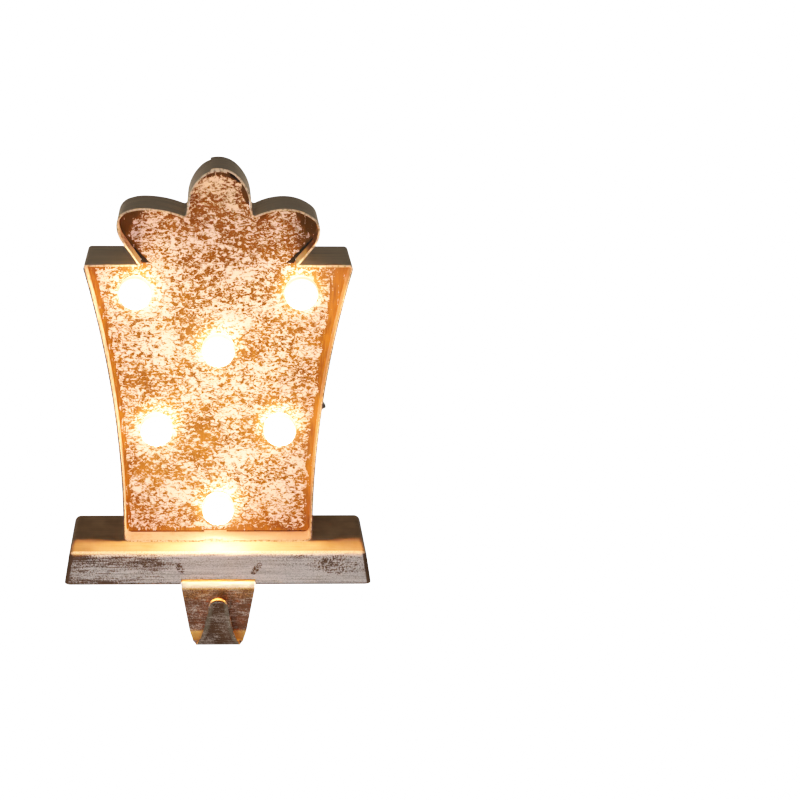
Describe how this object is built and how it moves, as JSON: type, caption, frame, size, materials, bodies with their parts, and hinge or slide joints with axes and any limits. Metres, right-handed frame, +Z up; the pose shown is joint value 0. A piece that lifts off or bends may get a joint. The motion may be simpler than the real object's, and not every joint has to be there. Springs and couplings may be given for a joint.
{
  "type": "mantel stocking holder",
  "caption": "Weighted mantel base with a bent-strip stocking hook and a lit sheet-metal gift box with a bow, globe lamps, a battery case behind and a slide switch in its wall.",
  "frame": {"origin": "centre of the pad under the base, on the mantel top", "axes": "+X to the right seen from the front, +Y to the back, +Z up; the hook hangs in front below the origin"},
  "size_m": [0.14, 0.0628, 0.2156],
  "materials": {
    "base_shell": "brown paint dry-brushed with off-white",
    "base_weight": "rough cast",
    "base_pad": "closed foam",
    "hook": "brown paint dry-brushed with off-white",
    "band": "brushed dark brown paint with worn edges",
    "face_plate": "coppery brown paint blotted with off-white",
    "globe": "frosted",
    "lamp_holder": "satin",
    "led": "clear warm white",
    "battery_case": "fine moulded grain",
    "battery_lid": "fine moulded grain",
    "case_tape": "foam tape",
    "cell": "plain wrapped cell",
    "contact": "plated spring steel",
    "switch_body": "moulded",
    "switch_knob": "moulded"
  },
  "bodies": {
    "holder": {"base_shell": "base_shell", "base_weight": "base_weight", "base_pad": "base_pad", "hook": "hook", "body_band_left": "band", "body_band_right": "band", "bow_band_left": "band", "bow_band_right": "band", "face_plate": "face_plate", "lamp_globe_1": "globe", "lamp_holder_1": "lamp_holder", "lamp_led_1": "led", "lamp_globe_2": "globe", "lamp_holder_2": "lamp_holder", "lamp_led_2": "led", "lamp_globe_3": "globe", "lamp_holder_3": "lamp_holder", "lamp_led_3": "led", "lamp_globe_4": "globe", "lamp_holder_4": "lamp_holder", "lamp_led_4": "led", "lamp_globe_5": "globe", "lamp_holder_5": "lamp_holder", "lamp_led_5": "led", "lamp_globe_6": "globe", "lamp_holder_6": "lamp_holder", "lamp_led_6": "led", "battery_case": "battery_case", "case_tape": "case_tape", "cell_left": "cell", "cell_right": "cell", "contact_low_left": "contact", "contact_low_right": "contact", "contact_high_left": "contact", "contact_high_right": "contact", "switch_body": "switch_body"},
    "battery_lid": {"battery_lid": "battery_lid"},
    "switch_knob": {"switch_knob": "switch_knob"}
  },
  "joints": [
    {"name": "lid_slide", "type": "slide", "parent": "holder", "child": "battery_lid", "axis": [0, 0, 1], "range_m": [0, 0.058]},
    {"name": "switch_slide", "type": "slide", "parent": "holder", "child": "switch_knob", "axis": [0.1058, 0, 0.9944], "range_m": [0, 0.003]}
  ]
}
